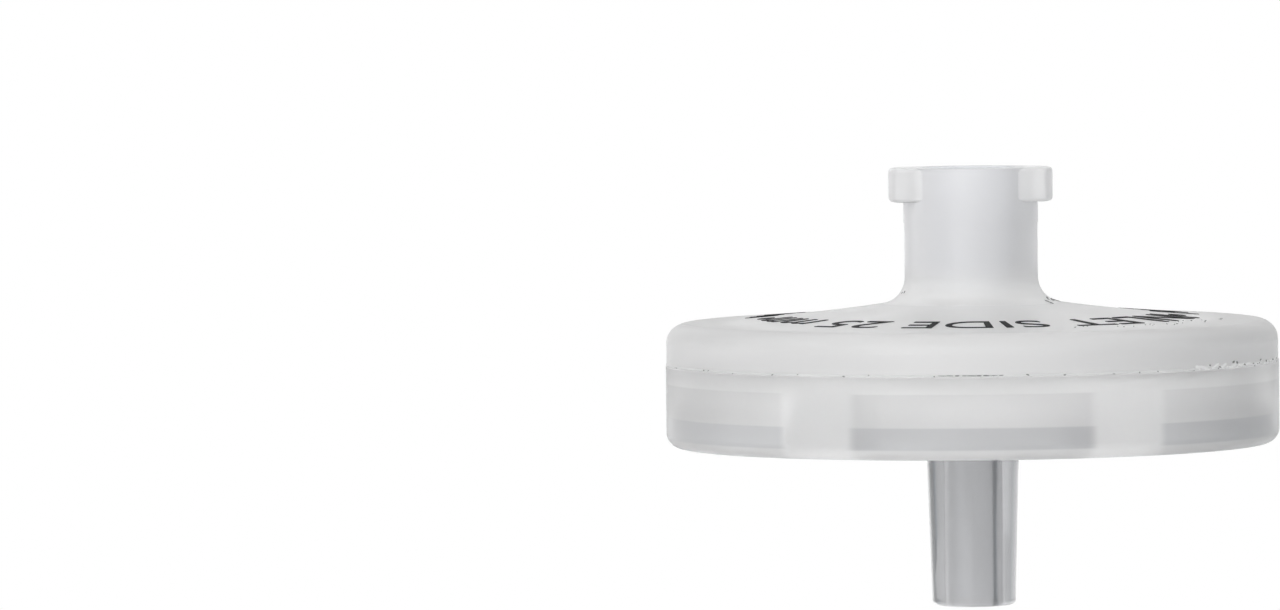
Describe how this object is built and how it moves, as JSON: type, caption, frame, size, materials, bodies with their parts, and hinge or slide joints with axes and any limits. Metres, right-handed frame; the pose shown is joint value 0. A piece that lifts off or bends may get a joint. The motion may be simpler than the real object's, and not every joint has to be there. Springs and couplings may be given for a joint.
{
  "type": "syringe filter",
  "caption": "Round translucent plastic syringe filter: a welded disc housing with a female Luer lock inlet hub and a male Luer slip outlet tip, and a membrane inside.",
  "frame": {"origin": "centre of the inlet's mouth, in the plane of the hub's top face", "axes": "+Z points out of the inlet along the filter's axis; the lock lugs lie at +X and -X and the gate mark at -Y"},
  "size_m": [0.029, 0.029, 0.0207],
  "materials": {
    "housing": "natural translucent polypropylene, satin moulded surface",
    "membrane": "white porous polymer sheet",
    "print": "black pad-printed ink"
  },
  "bodies": {
    "root": {"inlet_housing": "housing", "membrane": "membrane", "outlet_housing": "housing"}
  },
  "joints": []
}
